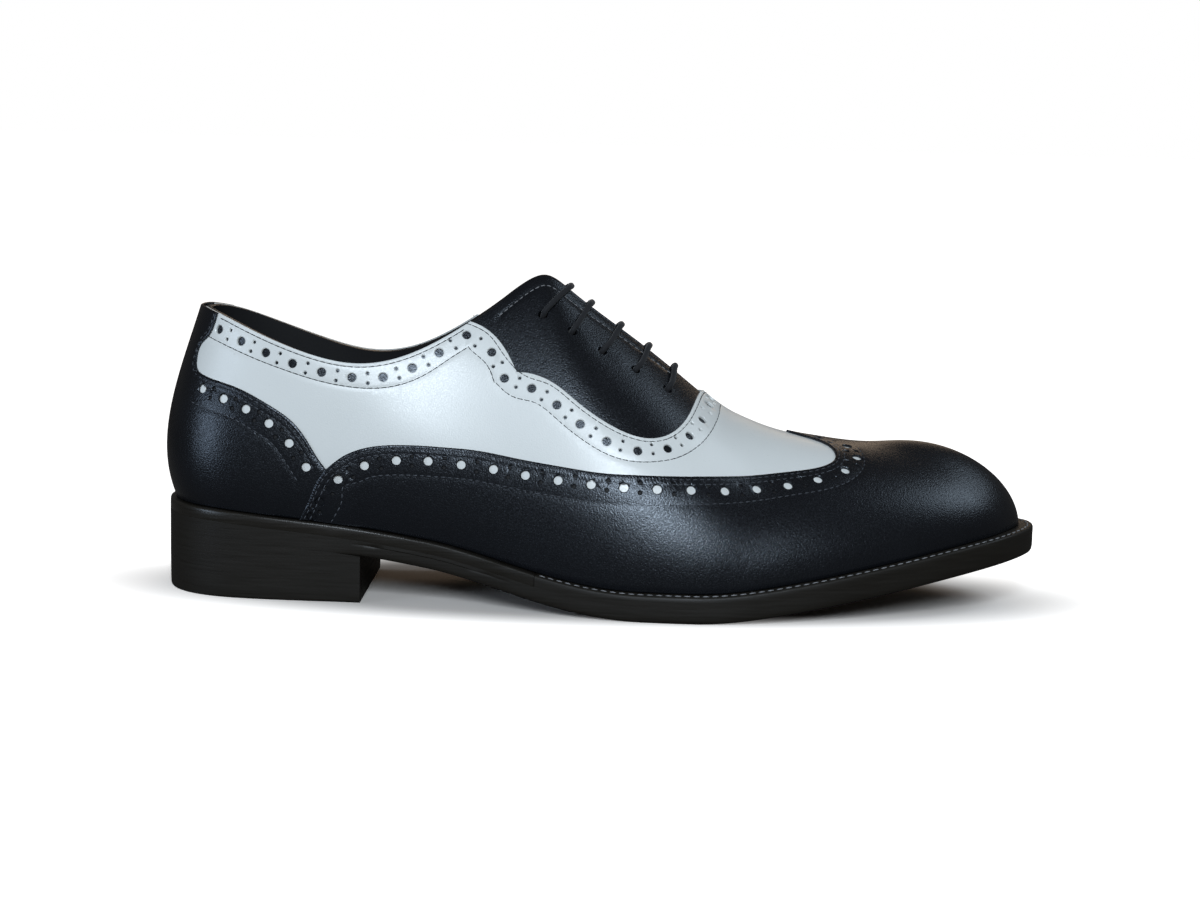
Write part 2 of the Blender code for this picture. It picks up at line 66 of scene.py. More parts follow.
wallRows = (
    (11.3, 99.3, 0.0, 0.0, 0.30, 10.0, 10.0, 8.5, 24.0), (12.4, 99.3, 6.8, 0.0, 0.30, 9.0, 9.0, 7.5, 24.0),
    (16.0, 98.4, 12.8, 0.1, 0.30, 7.0, 7.0, 5.5, 23.0), (22.5, 96.2, 18.4, 0.4, 0.30, 5.4, 5.4, 3.6, 22.0),
    (33.0, 92.0, 23.6, 0.6, 0.30, 4.6, 4.8, 2.4, 20.0), (48.0, 86.5, 27.2, 0.6, 0.30, 4.2, 5.0, 2.0, 18.0),
    (66.0, 82.4, 28.2, 0.0, 0.30, 4.0, 6.0, 2.6, 16.0), (83.0, 84.6, 26.2, -0.5, 0.32, 3.8, 7.4, 5.0, 16.0),
    (99.0, 92.0, 21.0, -0.3, 0.34, 3.4, 8.0, 9.0, 15.0),
    (114.0, 102.2, 13.6, 0.0, 0.36, 3.0, 6.6, 11.5, 13.0),
    (130.4, 113.8, 5.4, 0.0, 0.37, 2.6, 5.0, 11.0, 10.0), (144.0, 105.9, 4.6, 0.0, 0.38, 2.4, 3.8, 10.5, 8.0),
    (168.0, 89.2, 3.8, 0.0, 0.40, 2.4, 3.0, 11.5, 6.5), (189.0, 73.0, 0.0, 0.0, 0.42, 2.4, 2.6, 14.0, 4.8),
    (199.5, 65.7, 0.0, 0.0, 0.44, 2.2, 2.2, 17.0, 3.6), (211.0, 61.4, 0.0, 0.0, 0.47, 1.6, 1.6, 19.0, 2.6),
    (222.0, 58.4, 0.0, 0.0, 0.50, 0.8, 0.8, 20.0, 2.0), (233.0, 56.2, 0.0, 0.0, 0.52, 0.2, 0.2, 21.0, 1.4),
    (243.0, 55.2, 0.0, 0.0, 0.53, -0.4, -0.4, 21.0, 0.5),
    (251.5, 55.4, 0.0, 0.0, 0.53, -0.8, -0.8, 20.5, 0.0),
    (258.0, 55.8, 0.0, 0.0, 0.53, -1.0, -1.0, 20.0, 0.0),
    (262.0, 55.8, 0.0, 0.0, 0.53, -1.0, -1.0, 20.0, 0.0),
)
soleSideX = (0, 20, 40, 60, 80, 100, 115, 130, 145, 156, 164, 192,
             204, 216, 228, 240, 252, 264, 276, 288, 298, 308)
soleSideZ = (22.2, 21.2, 19.5, 17.7, 15.2, 12.2, 8.7, 4.9, 1.9, 0.5, 0, 0,
             1.2, 3.0, 5.0, 7.2, 9.5, 11.8, 14.1, 16.1, 17.6, 18.6)
ridgeX = (0, 150, 197, 222, 243, 262)
ridgeY = (0, 0, 1.0, 2.4, 3.9, 5.0)

# Panel edges, stitch rows and punched holes as (station, share of the wall's height), on the outer side.
collarToCounter = ((2.56, 1.0), (2.24, 0.873), (1.79, 0.785), (1.86, 0.728), (2.23, 0.687), (2.69, 0.676),
                   (3.79, 0.664), (4.44, 0.627), (4.88, 0.572), (5.14, 0.483), (5.32, 0.385), (5.44, 0.334))
wingRear = ((4.90, 0.0), (5.12, 0.156), (5.28, 0.267), (5.44, 0.338))
wingTop = ((5.44, 0.338), (5.82, 0.44), (6.3, 0.498), (6.86, 0.503), (7.6, 0.466), (8.32, 0.423),
           (9.0, 0.371), (9.56, 0.333), (10.22, 0.311), (10.9, 0.322), (11.53, 0.35), (12.13, 0.39),
           (12.69, 0.433), (13.36, 0.483), (14.11, 0.522), (15.02, 0.569), (15.72, 0.643),
           (16.2, 0.754), (16.38, 0.857), (16.25, 0.93), (15.95, 0.972), (15.7, 1.0))
facingRear = ((8.53, 1.0), (8.97, 0.84), (9.19, 0.721), (9.29, 0.63))
facingLower = ((9.29, 0.63), (9.55, 0.597), (9.91, 0.544), (10.3, 0.487), (10.72, 0.456), (11.15, 0.447),
               (11.43, 0.457), (11.84, 0.506), (12.19, 0.59), (12.6, 0.755), (12.84, 0.89), (13.0, 1.0))
rimStitch = ((2.05, 0.872), (3.26, 0.858), (4.18, 0.853), (4.88, 0.853), (5.47, 0.851), (6.04, 0.846),
             (6.63, 0.831), (7.14, 0.823), (7.66, 0.829), (8.1, 0.842), (8.5, 0.842))
facingStitchRear = ((8.5, 0.842), (8.64, 0.784), (8.78, 0.729), (8.85, 0.682), (8.87, 0.645))
facingStitchLower = ((8.87, 0.645), (8.84, 0.632), (8.88, 0.604), (8.97, 0.583), (9.12, 0.566), (9.35, 0.536),
                     (9.58, 0.493), (9.94, 0.421), (10.4, 0.373), (10.83, 0.361), (11.24, 0.375),
                     (11.75, 0.418), (12.36, 0.528), (12.95, 0.72), (13.42, 0.929), (13.55, 1.0))
counterHoles = ((2.42, 0.617), (3.2, 0.595), (3.85, 0.575), (4.39, 0.532), (4.79, 0.449), (5.08, 0.33))
wingHoles = ((5.12, 0.03), (5.28, 0.133), (5.64, 0.29), (6.14, 0.389), (6.74, 0.424), (7.32, 0.41),
             (7.91, 0.381), (8.48, 0.353), (9.02, 0.321), (9.56, 0.293), (10.13, 0.279),
             (10.73, 0.283), (11.33, 0.302), (11.92, 0.332), (12.52, 0.367), (13.16, 0.411),
             (13.89, 0.446), (14.68, 0.486), (15.6, 0.553), (16.5, 0.68), (16.95, 0.83), (16.6, 0.955))
rimHoles = ((2.69, 0.922), (3.6, 0.913), (4.31, 0.909), (4.92, 0.906), (5.5, 0.908), (6.08, 0.905),
            (6.7, 0.894), (7.3, 0.897), (7.87, 0.911), (8.48, 0.915), (8.94, 0.75), (9.06, 0.633),
            (9.47, 0.559), (9.83, 0.49), (10.18, 0.434), (10.63, 0.4), (11.19, 0.403), (11.75, 0.452),
            (12.23, 0.547), (12.62, 0.672), (13.0, 0.84), (13.2, 0.965))
eyelets = ((9.99, 0.778, 10.8), (10.64, 0.737, 11.2), (11.21, 0.733, 11.65), (11.72, 0.745, 12.05),
           (12.19, 0.752, 12.45))  # the third number is the station where the lace crosses the ridge


def naturalSpline(xs, ys, slack=0.0):  # a curve with no kinks; slack lets it ease past rough points
    xs = np.asarray(xs, float)
    count = len(xs)
    gap = np.diff(xs)
    turn = np.zeros((count, count))
    mass = np.eye(count)
    for i in range(1, count - 1):
        turn[i, i - 1 : i + 2] = 1 / gap[i - 1], -1 / gap[i - 1] - 1 / gap[i], 1 / gap[i]
        mass[i, i - 1 : i + 2] = gap[i - 1] / 6, (gap[i - 1] + gap[i]) / 3, gap[i] / 6
    eased = np.linalg.solve(np.eye(count) + slack * turn.T @ turn, np.asarray(ys, float))
    curvature = np.linalg.solve(mass, turn @ eased)

    def value(x):
        x = np.asarray(x, float)
        i = np.clip(np.searchsorted(xs, x) - 1, 0, count - 2)
        h = gap[i]
        a = (xs[i + 1] - x) / h
        b = (x - xs[i]) / h
        bend = (a**3 - a) * curvature[i] + (b**3 - b) * curvature[i + 1]
        return a * eased[i] + b * eased[i + 1] + bend * h * h / 6

    return value


def columns(names, rows):
    return dict(zip(names.split(), np.array(rows, float).T))


sole = columns(soleColumns, soleRows)
walls = columns(wallColumns, wallRows)
toe = len(soleRows) - 1  # the inner side runs on from here back to the heel
ring = 2 * toe
seamRight = ring * stationMm  # the flat pattern runs from 0 to here, all round the foot


def allRound(outer, inner, slack=0.0):  # a column of a table as a curve that closes on itself
    overlap = 8
    knots = np.concatenate([outer, inner[-2:0:-1]])
    wrapped = np.concatenate([knots[-overlap:], knots, knots[: overlap + 1]])
    curve = naturalSpline(np.arange(-overlap, len(knots) + overlap + 1), wrapped, slack)
    return lambda station: curve(np.mod(station, ring))


edgeX = allRound(sole["x"], sole["x"], 0.05)
edgeY = allRound(-sole["lateral"], sole["medial"], 0.05)
edgeInset = allRound(sole["inset"], sole["inset"], 1.0)
topX = allRound(walls["x"], walls["x"], 0.02)
topZ = allRound(walls["z"], walls["z"] + walls["lift"], 0.02)
topHalf = allRound(-walls["half"], walls["half"], 0.05)
wallRise = allRound(walls["rise"], walls["rise"], 2.0)
wallBelly = allRound(walls["belly"], walls["bellyMedial"], 1.5)
wallShoulder = allRound(walls["shoulder"], walls["shoulder"], 1.5)
wallDrop = allRound(walls["drop"], walls["drop"], 0.6)
shoeLength = sole["x"][toe]
sideX = np.linspace(0, shoeLength, 45)
underside = naturalSpline(sideX, np.interp(sideX, soleSideX, soleSideZ), 3.0)
ridgeLine = naturalSpline(ridgeX, ridgeY, 0.0)


def soleUnder(x):
    return np.maximum(underside(np.clip(x, 0, shoeLength)), 0.0)


def unit(v):
    return v / np.linalg.norm(v, axis=-1, keepdims=True)


def planNormal(station):  # away from the sole's edge, seen from above
    near = 0.05
    alongX = edgeX(station + near) - edgeX(station - near)
    alongY = edgeY(station + near) - edgeY(station - near)
    return unit(np.stack([alongY, -alongX], -1))


def solePoint(station, inset, height):
    out = planNormal(np.asarray(station, float))
    x = edgeX(station) - out[..., 0] * inset
    y = edgeY(station) - out[..., 1] * inset
    return np.stack([x, y, soleUnder(x) + height], -1)


def wall(station, height):  # the upper's outside: height 0 at the welt, 1 at the collar, facing edge or ridge
    out = planNormal(station)
    foot = solePoint(station, edgeInset(station), soleEdge + clearance)
    headX = topX(station)
    head = np.stack([headX, ridgeLine(headX) + topHalf(station), topZ(station)], -1)
    rise = wallRise(station) * (head[..., 2] - foot[..., 2])
    low = foot + np.concatenate([out * wallBelly(station)[..., None], rise[..., None]], -1)
    high = head + np.concatenate([out * wallShoulder(station)[..., None], -wallDrop(station)[..., None]], -1)
    t = np.asarray(height, float)[..., None]
    return foot * (1 - t) ** 3 + 3 * low * t * (1 - t) ** 2 + 3 * high * t**2 * (1 - t) + head * t**3


# Soft troughs (negative) and ridges in the leather: x, z and reach in mm, angle in degrees, depth in mm.
creases = (
    (214.0, 44.0, 9.0, 30.0, 62.0, -0.35),
    (205.0, 50.0, 7.0, 26.0, 58.0, -0.30),
    (196.0, 40.0, 10.0, 34.0, 70.0, 0.25),
    (74.0, 66.0, 14.0, 30.0, 20.0, -0.45),
    (100.0, 70.0, 12.0, 26.0, -28.0, -0.40),
    (60.0, 46.0, 12.0, 24.0, 75.0, -0.30),
)


def softForm(point):
    lift = np.zeros(point.shape[:-1])
    for x, z, across, along, angle, depth in creases:
        c, s = math.cos(math.radians(angle)), math.sin(math.radians(angle))
        dx, dz = point[..., 0] - x, point[..., 2] - z
        u, v = (dx * c + dz * s) / along, (-dx * s + dz * c) / across
        lift += depth * np.exp(-(u * u + v * v))
    return lift


def leather(flat, depth):  # a point of the flat pattern, lasted, depth outside the wall
    station = np.asarray(flat[..., 0], float) / stationMm
    height = np.clip(np.asarray(flat[..., 1], float) / heightMm, 0, 1)
    here = wall(station, height)
    nearAlong, nearUp, behind = 0.02, 0.01, 0.3
    along = wall(station + nearAlong, height) - wall(station - nearAlong, height)
    up = wall(station, height + nearUp) - wall(station, height - nearUp)
    onRidge = (height > 0.9999) & (np.abs(np.mod(station, ring) - toe) <= toe - throatRow)
    heelward = np.where(np.mod(station, ring) <= toe, -behind, behind)
    forward = here - wall(station + heelward, height)
    upright = np.stack([-forward[..., 2], np.zeros_like(forward[..., 0]), forward[..., 0]], -1)
    normal = unit(np.where(onRidge[..., None], upright, np.cross(along, up)))
    point = here + normal * (np.asarray(depth, float) + softForm(here))[..., None]
    point[..., 2] = np.maximum(point[..., 2], soleUnder(point[..., 0]) + soleEdge + clearance)
    return point


def toFrame(points):
    return (np.asarray(points, float) - (heelCentreX, 0, 0)) * mm


def flatOf(points):
    return np.array(points, float) * (stationMm, heightMm)


def mirrored(flat):
    return np.stack([seamRight - flat[:, 0], flat[:, 1]], -1)


def onWall(flat):
    return wall(flat[:, 0] / stationMm, flat[:, 1] / heightMm)


def smoothLine(flat, step=1.2):  # a smooth line through flat points
    run = np.concatenate([[0], np.cumsum(np.linalg.norm(np.diff(flat, axis=0), axis=1))])
    at = np.linspace(0, run[-1], max(2, int(run[-1] / step) + 1))
    return np.stack([naturalSpline(run, flat[:, 0])(at), naturalSpline(run, flat[:, 1])(at)], -1)


def curveOf(points):  # the same, through points of the tables above
    return smoothLine(flatOf(points))


def straightLine(start, end, step=1.2):
    count = max(2, int(math.dist(start, end) / step) + 1)
    return np.linspace(start, end, count)


def joinLines(*lines):
    return np.concatenate([line[:-1] for line in lines[:-1]] + [lines[-1]])


def stretch(flat):  # how the lasted leather runs along and up at flat points
    near = 0.3
    u = flat[..., 0] / stationMm
    v = flat[..., 1] / heightMm
    along = (wall(u + near / stationMm, v) - wall(u - near / stationMm, v)) / (2 * near)
    up = (wall(u, v + near / heightMm) - wall(u, v - near / heightMm)) / (2 * near)
    return np.stack([along, up], -1)


def beside(line, distance, steps=6):  # the line moved to its left by a real distance
    for _ in range(steps):
        tangent = np.gradient(line, axis=0)
        shape = stretch(line)
        metric = np.einsum("nki,nkj->nij", shape, shape)
        side = np.stack([-tangent[:, 1], tangent[:, 0]], -1)
        move = np.linalg.solve(metric, side[..., None])[..., 0]
        move /= np.sqrt(np.einsum("ni,ni->n", side, move))[:, None]
        line = line + move * distance / steps
    return line


def spaced(line, pitch):  # flat points at an even real pitch, and the way the line runs there
    fine = smoothLine(line, 0.4)
    run = np.concatenate([[0], np.cumsum(np.linalg.norm(np.diff(onWall(fine), axis=0), axis=1))])
    at = np.linspace(0, run[-1], max(1, round(run[-1] / pitch)) + 1)
    point, ahead, back = (np.stack([np.interp(at + off, run, fine[:, k]) for k in (0, 1)], -1)
                          for off in (0.0, 0.3, -0.3))
    return point, ahead - back


def roundHole(centre, radius, count):  # a punched hole is round on the last, not on the flat pattern
    shape = stretch(centre[None])[0]
    lower = np.linalg.cholesky(shape.T @ shape)
    angle = np.arange(count) * 2 * math.pi / count
    circle = np.stack([np.cos(angle), np.sin(angle)])
    return centre + (np.linalg.inv(lower).T @ circle).T * radius


def insidePolygon(points, polygon):
    inside = np.zeros(len(points), bool)
    following = np.roll(polygon, -1, 0)
    for (x1, y1), (x2, y2) in zip(polygon, following):
        if y1 != y2:
            crosses = (points[:, 1] < y1) != (points[:, 1] < y2)
            inside ^= crosses & (points[:, 0] < x1 + (points[:, 1] - y1) / (y2 - y1) * (x2 - x1))
    return inside


def inHoles(points, loops):
    inside = np.zeros(len(points), bool)
    for loop in loops:
        close = np.flatnonzero((np.abs(points - loop.mean(0)) < np.ptp(loop, axis=0)).all(1))
        inside[close] |= insidePolygon(points[close], loop)
    return inside


def nearest(points, targets):  # distance from each point to the nearest target
    flatten = (0.0,) * (3 - targets.shape[1])
    tree = KDTree(len(targets))
    for i, target in enumerate(targets):
        tree.insert((*target, *flatten), i)
    tree.balance()
    return np.array([tree.find((*p, *flatten))[2] for p in points])


def onSeam(flat, backSeam):  # where a panel meets itself: the ridge of the vamp, and the back of a full shell
    fromToe = np.abs(flat[:, 0] - toe * stationMm)
    ridge = (flat[:, 1] > heightMm - hair) & (fromToe < (toe - throatRow) * stationMm + 10 * hair)
    return ridge | backSeam & ((flat[:, 0] < hair) | (flat[:, 0] > seamRight - hair))


def addObject(name, data):
    made = bpy.data.objects.new(name, data)
    bpy.context.scene.collection.objects.link(made)
    return made


def finishPiece(name, bm, materials, replaced, crease=42):
    mesh = bpy.data.meshes.new(name)
    bm.to_mesh(mesh)
    bm.free()
    mesh.shade_smooth()
    mesh.set_sharp_from_angle(angle=math.radians(crease))
    for look in materials:
        mesh.materials.append(look)
    piece = addObject(name, mesh)
    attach(piece, "root")
    if replaced:
        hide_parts(*replaced)
    print(name, len(mesh.polygons), "faces")


cutting = {  # corners of the holes, and distances in mm from edges and rows to the next points of the mesh
    "largeHole": 18, "smallHole": 9, "rim": 0.3, "border": 0.4, "groove": 0.5, "apart": 0.12,
    "gridApart": 0.55,  # of the grid's step
    "turned": 0.8,  # how much of the rounding goes down at an edge
    "grooveReach": 0.55,
}


def cutFlat(outline, holes, grooves, step):  # a leather panel cut flat: its spots, triangles and loops
    loops = [outline]
    rims = []
    for centre, radius in holes:
        count = cutting["largeHole"] if radius > 1 else cutting["smallHole"]
        loops.append(roundHole(centre, radius, count))
        rims.append(roundHole(centre, radius + cutting["rim"], count))

    def onLeather(points):
        return insidePolygon(points, outline) & ~inHoles(points, loops[1:])

    closed = np.concatenate([outline[-3:], outline, outline[:3]])
    rims.append(beside(closed, cutting["border"], 1)[3:-3])
    rims += [beside(groove, side * cutting["groove"], 1) for groove in grooves for side in (-1, 0, 1)]
    fixed = np.concatenate(loops)
    loose = np.concatenate(rims)
    loose = loose[onLeather(loose) & (nearest(loose, fixed) > cutting["apart"])]
    low, high = outline.min(0), outline.max(0)
    us, vs = np.meshgrid(np.arange(low[0], high[0], step), np.arange(low[1], high[1], step * 0.87))
    us[1::2] += step / 2
    grid = np.stack([us.ravel(), vs.ravel()], -1)
    grid = grid[onLeather(grid)]
    grid = grid[nearest(grid, np.concatenate([fixed, loose])) > step * cutting["gridApart"]]
    edges = []
    start = 0
    for loop in loops:
        edges += [(start + i, start + (i + 1) % len(loop)) for i in range(len(loop))]
        start += len(loop)
    cut = delaunay_2d_cdt([Vector(p) for p in np.concatenate([fixed, loose, grid])], edges, [], 0, 1e-5)
    spots = np.array([tuple(v) for v in cut[0]])
    triangles = np.array(cut[2])
    return spots, triangles[onLeather(spots[triangles].mean(1))], loops


def counterClockwise(outline):
    following = np.roll(outline, -1, 0)
    area = np.sum(outline[:, 0] * following[:, 1] - following[:, 0] * outline[:, 1])
    return outline if area > 0 else outline[::-1]


# A leather is cut flat, thickened, rounded at its edges, sunk along its stitch rows and bent on the last.
def lastPanel(name, outline, panel, holes, grooves, materials, replaced, backSeam=False):
    spots, triangles, loops = cutFlat(counterClockwise(outline), holes, grooves, panel["grid"])
    bm = bmesh.new()
    verts = [bm.verts.new((x, y, panel["bottom"])) for x, y in spots]
    for corners in triangles:
        bm.faces.new([verts[k] for k in corners])
    under = bm.faces[:]
    pulled = bmesh.ops.extrude_face_region(bm, geom=under, use_keep_orig=True)
    upper = [v for v in pulled["geom"] if isinstance(v, bmesh.types.BMVert)]
    for face in under:
        face.material_index = min(panel.get("lining", 0), len(materials) - 1)
    flat = np.array([v.co[:2] for v in upper])
    body = onWall(flat)
    free = np.concatenate([loop[~onSeam(loop, backSeam)] for loop in loops])
    fromEdge = np.clip(nearest(body, onWall(free)) / panel["round"], 0, 1)
    depth = panel["top"] - panel["round"] * cutting["turned"] * (1 - np.sqrt(1 - (1 - fromEdge) ** 2))
    sewn = np.concatenate([smoothLine(groove, 0.4) for groove in grooves])
    depth -= panel["sunk"] * np.clip(1 - nearest(body, onWall(sewn)) / cutting["grooveReach"], 0, 1)
    for vert, z in zip(upper, depth):
        vert.co.z = z
    everyFlat = np.array([v.co[:2] for v in bm.verts])
    seam = onSeam(everyFlat, backSeam)
    bm.verts.index_update()
    bmesh.ops.delete(bm, geom=[f for f in bm.faces if all(seam[v.index] for v in f.verts)], context="FACES")
    flat = np.array([v.co for v in bm.verts])
    raised = panel["raise"](flat) if "raise" in panel else 0.0
    for vert, point in zip(bm.verts, toFrame(leather(flat, flat[:, 2] + raised))):
        vert.co = point
    bmesh.ops.remove_doubles(bm, verts=bm.verts[:], dist=weld)
    bmesh.ops.recalc_face_normals(bm, faces=bm.faces[:])
    finishPiece(name, bm, materials, replaced)


print("tables and surface ready")


def bothSides(flat):
    return [flat, mirrored(flat)]


def bothSidesOfHoles(holes):
    return holes + [(np.array([seamRight - x, y]), radius) for (x, y), radius in holes]


punches = {"large": 3.1, "small": 1.2, "apart": 3.4}


def punchedRow(centres):  # large holes, and between them small ones in pairs across the row
    row = flatOf(centres)
    holes = [(centre, punches["large"] / 2) for centre in row]
    for start, end in zip(row, row[1:]):
        middle = (start + end) / 2
        line = np.stack([middle - (end - start) * 0.1, middle, middle + (end - start) * 0.1])
        for side in (-1, 1):
            holes.append((beside(line, side * punches["apart"] / 2, 1)[1], punches["small"] / 2))
    return bothSidesOfHoles(holes)


# Stitch rows, as lines on the flat pattern, each a real distance from a panel's edge.
def within(line):  # eases a line and keeps it off the welt and the upper end of the wall
    line = smoothLine(line[::7])
    return line[(line[:, 1] > 0.01 * heightMm) & (line[:, 1] < 0.995 * heightMm)]


collarRear, collarFront = 2.8 * stationMm, facingRear[0][0] * stationMm
frontRear, frontFront = 9.0 * stationMm, 12.7 * stationMm
wingEdge = joinLines(curveOf(wingRear), curveOf(wingTop))
counterEdge = curveOf(collarToCounter)
facingEdge = joinLines(curveOf(facingRear), curveOf(facingLower))
collarLine = straightLine((collarRear, heightMm), (collarFront, heightMm))
frontEdge = straightLine((frontRear, heightMm), (frontFront, heightMm))
wingSides = wingEdge[: int(len(wingEdge) * 0.93)]  # without the tip
counterCurve = counterEdge[int(len(counterEdge) * 0.35) :]  # without the backstrip
rowAt = {"edge": -1.3, "second": -3.1, "lower": -10.2, "front": -4.2}
seams = {
    "collar": within(beside(collarLine, rowAt["edge"])),
    "facing": within(beside(facingEdge, rowAt["edge"])),
    "rim": joinLines(curveOf(rimStitch), curveOf(facingStitchRear), within(curveOf(facingStitchLower))),
    "wingEdge": within(beside(wingEdge, rowAt["edge"])),
    "wingSecond": within(beside(wingEdge, rowAt["second"])),
    "wingLower": within(beside(wingSides, rowAt["lower"], 12)),
    "counterEdge": within(beside(counterEdge, rowAt["edge"])),
    "counterSecond": within(beside(counterCurve, rowAt["second"])),
    "counterLower": within(beside(counterCurve, rowAt["lower"], 12)),
    "front": within(beside(frontEdge, rowAt["front"])),
}


# Materials.
def shaderNode(tree, kind, inputs=(), **settings):
    made = tree.nodes.new(kind)
    for name, value in settings.items():
        setattr(made, name, value)
    for name, value in dict(inputs).items():
        if isinstance(value, bpy.types.NodeSocket):
            tree.links.new(value, made.inputs[name])
        else:
            made.inputs[name].default_value = value
    return made


def objectCoords(tree):
    return shaderNode(tree, "ShaderNodeTexCoord").outputs["Object"]


def forCamera(tree, seen, otherwise):  # one shader for camera rays and another for all the rest
    rays = shaderNode(tree, "ShaderNodeLightPath").outputs["Is Camera Ray"]
    return shaderNode(tree, "ShaderNodeMixShader", {0: rays, 1: otherwise, 2: seen}).outputs[0]


def newGroup(name, takes, gives):
    group = bpy.data.node_groups.new(name, "ShaderNodeTree")
    for label, value in takes.items():
        group.interface.new_socket(label, in_out="INPUT", socket_type="NodeSocketFloat").default_value = value
    for label in gives:
        group.interface.new_socket(label, in_out="OUTPUT", socket_type="NodeSocketFloat")
    return group, group.nodes.new("NodeGroupInput"), group.nodes.new("NodeGroupOutput")


def makeGrainGroup():  # pebbled leather; Speckle is for the gloss and Cloud for the colour
    group, takes, gives = newGroup("leatherGrain", {"Cells per mm": 1.6, "Pores": 0.5},
                                   ("Height", "Speckle", "Cloud"))
    coords = objectCoords(group)
    scale = shaderNode(group, "ShaderNodeMath", {0: takes.outputs["Cells per mm"], 1: 1 / mm},
                       operation="MULTIPLY")
    cells = shaderNode(group, "ShaderNodeTexVoronoi", {"Vector": coords, "Scale": scale.outputs[0]},
                       feature="SMOOTH_F1")
    cells.inputs["Smoothness"].default_value = 0.6
    fine = shaderNode(group, "ShaderNodeTexNoise", {"Vector": coords, "Scale": 1700.0, "Detail": 3.0})
    wide = shaderNode(group, "ShaderNodeTexNoise", {"Vector": coords, "Scale": 60.0, "Detail": 3.0})
    mixed = shaderNode(group, "ShaderNodeMix", {"Factor": takes.outputs["Pores"], "A": fine.outputs["Fac"],
                                               "B": cells.outputs["Distance"]})
    group.links.new(mixed.outputs["Result"], gives.inputs["Height"])
    group.links.new(fine.outputs["Fac"], gives.inputs["Speckle"])
    group.links.new(wide.outputs["Fac"], gives.inputs["Cloud"])
    return group


def newMaterial(name, color, roughness, specular, sheen=0.0):
    made = bpy.data.materials.new(name)
    made.use_nodes = True
    shader = made.node_tree.nodes["Principled BSDF"]
    shader.inputs["Base Color"].default_value = (*color, 1.0)
    shader.inputs["Roughness"].default_value = roughness
    shader.inputs["Specular IOR Level"].default_value = specular
    shader.inputs["Sheen Weight"].default_value = sheen
    return made, made.node_tree, shader


def blendColors(tree, factor, low, high):
    mix = shaderNode(tree, "ShaderNodeMix", data_type="RGBA")
    tree.links.new(factor, mix.inputs[0])
    mix.inputs[6].default_value = (*low, 1.0)
    mix.inputs[7].default_value = (*high, 1.0)
    return mix.outputs[2]


def mapped(tree, noise, low, high):  # noise lies mostly between 0.3 and 0.7
    return shaderNode(tree, "ShaderNodeMapRange", {"Value": noise, "From Min": 0.3, "From Max": 0.7,
                                                   "To Min": low, "To Max": high}).outputs["Result"]


def addBump(tree, shader, height, strength, distance):
    bump = shaderNode(tree, "ShaderNodeBump", {"Height": height, "Strength": strength, "Distance": distance})
    tree.links.new(bump.outputs["Normal"], shader.inputs["Normal"])


grain = makeGrainGroup()


def leatherMaterial(name, look):
    made, tree, shader = newMaterial(name, look["dark"], look["rough"][0], look["specular"])
    shader.inputs["Specular Tint"].default_value = (*look.get("tint", (1.0, 1.0, 1.0)), 1.0)
    skin = shaderNode(tree, "ShaderNodeGroup", node_tree=grain)
    skin.inputs["Cells per mm"].default_value = look["cells"]
    skin.inputs["Pores"].default_value = look["pores"]
    color = blendColors(tree, skin.outputs["Cloud"], look["dark"], look["light"])
    tree.links.new(color, shader.inputs["Base Color"])
    tree.links.new(mapped(tree, skin.outputs["Speckle"], *look["rough"]), shader.inputs["Roughness"])
    addBump(tree, shader, skin.outputs["Height"], look["bump"], 0.13 * mm)
    return made


threadGrain = {"cells": 4.0, "pores": 0.2, "bump": 0.6}
leatherLooks = {
    "blackLeather": {"dark": (0.0042, 0.0045, 0.0058), "light": (0.0068, 0.0075, 0.0098),
                     "rough": (0.20, 0.36), "specular": 0.5, "tint": (0.82, 0.90, 1.0), "cells": 2.2,
                     "pores": 0.4, "bump": 0.9},
    "whiteLeather": {"dark": (0.79, 0.81, 0.79), "light": (0.84, 0.855, 0.835), "rough": (0.27, 0.39),
                     "specular": 0.6, "cells": 2.4, "pores": 0.4, "bump": 0.3},
    "blackLining": {"dark": (0.009, 0.009, 0.010), "light": (0.014, 0.014, 0.015), "rough": (0.55, 0.7),
                    "specular": 0.3, "cells": 1.2, "pores": 0.4, "bump": 0.4},
    "blackThread": {"dark": (0.006, 0.008, 0.010), "light": (0.015, 0.018, 0.021), "rough": (0.45, 0.6),
                    "specular": 0.4, **threadGrain},
    # Black thread coloured mid grey: the lighter colour is a painted highlight for the glints on glossy black
    # thread.
    "blackThreadPaintedGlint": {"dark": (0.035, 0.04, 0.048), "light": (0.11, 0.12, 0.14), "rough": (0.4, 0.55),
                   "specular": 0.5, **threadGrain},
    "greyThread": {"dark": (0.11, 0.11, 0.115), "light": (0.34, 0.34, 0.35), "rough": (0.5, 0.65),
                   "specular": 0.4, **threadGrain},
}
looks = {name: leatherMaterial(name, look) for name, look in leatherLooks.items()}


